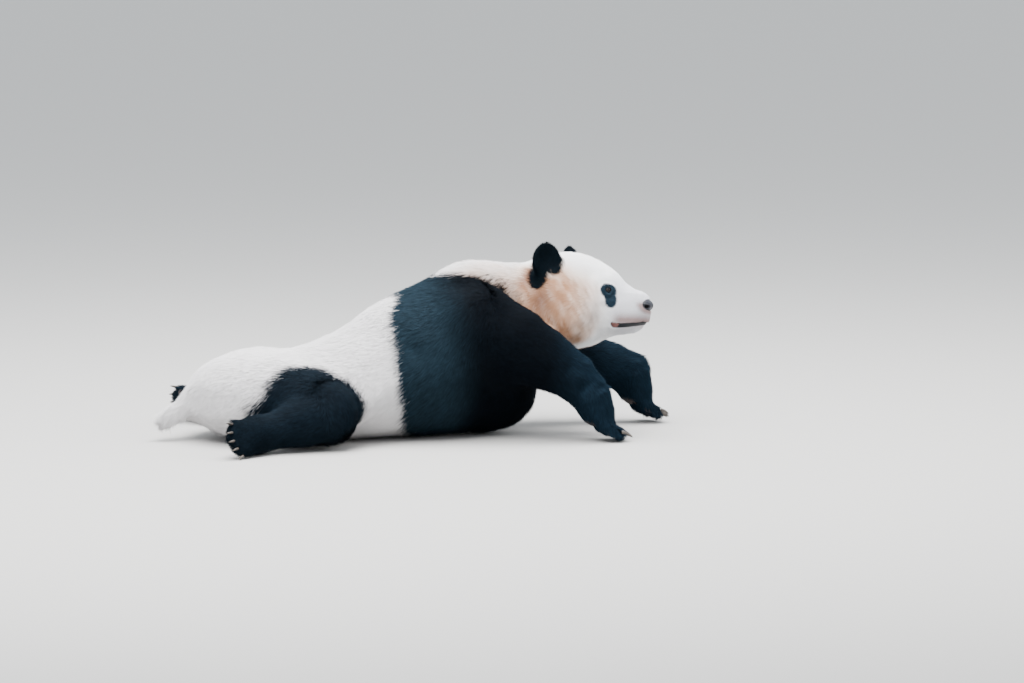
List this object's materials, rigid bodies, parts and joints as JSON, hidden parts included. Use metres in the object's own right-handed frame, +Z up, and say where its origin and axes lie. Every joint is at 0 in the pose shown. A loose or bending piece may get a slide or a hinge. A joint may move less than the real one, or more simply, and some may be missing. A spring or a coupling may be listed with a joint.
{
  "type": "giant panda",
  "caption": "Life-size still model of a giant panda lying on its belly, head up and turned, forelegs reaching forward and drooping.",
  "frame": {"origin": "middle of the footprint's bounding box, on the floor the animal lies on", "axes": "+X along the trunk to the shoulders, +Y to the animal's left, +Z up"},
  "size_m": [1.4446, 0.9688, 0.5226],
  "materials": {
    "white_coat": "soft white fur, matte",
    "cream_coat": "soft cream and tan fur, matte",
    "black_coat": "blue-black fur with a faint sheen",
    "nose_skin": "moist dark pebbled skin",
    "eye": "wet glossy dark brown",
    "claw": "horn, pale grey-brown, satin"
  },
  "bodies": {
    "root": {"chest": "black_coat", "claw_forepaw_left_1": "claw", "claw_forepaw_left_2": "claw", "claw_forepaw_left_3": "claw", "claw_forepaw_left_4": "claw", "claw_forepaw_left_5": "claw", "claw_forepaw_right_1": "claw", "claw_forepaw_right_2": "claw", "claw_forepaw_right_3": "claw", "claw_forepaw_right_4": "claw", "claw_forepaw_right_5": "claw", "claw_hindpaw_left_1": "claw", "claw_hindpaw_left_2": "claw", "claw_hindpaw_left_3": "claw", "claw_hindpaw_left_4": "claw", "claw_hindpaw_left_5": "claw", "claw_hindpaw_right_1": "claw", "claw_hindpaw_right_2": "claw", "claw_hindpaw_right_3": "claw", "claw_hindpaw_right_4": "claw", "claw_hindpaw_right_5": "claw", "ear_left": "black_coat", "ear_right": "black_coat", "eye_left": "eye", "eye_right": "eye", "foreleg_left": "black_coat", "foreleg_right": "black_coat", "forepaw_left": "black_coat", "forepaw_right": "black_coat", "head": "white_coat", "hindleg_left": "black_coat", "hindleg_right": "black_coat", "hindpaw_left": "black_coat", "hindpaw_right": "black_coat", "neck": "cream_coat", "nose": "nose_skin", "tail": "white_coat", "trunk": "white_coat"}
  },
  "joints": []
}
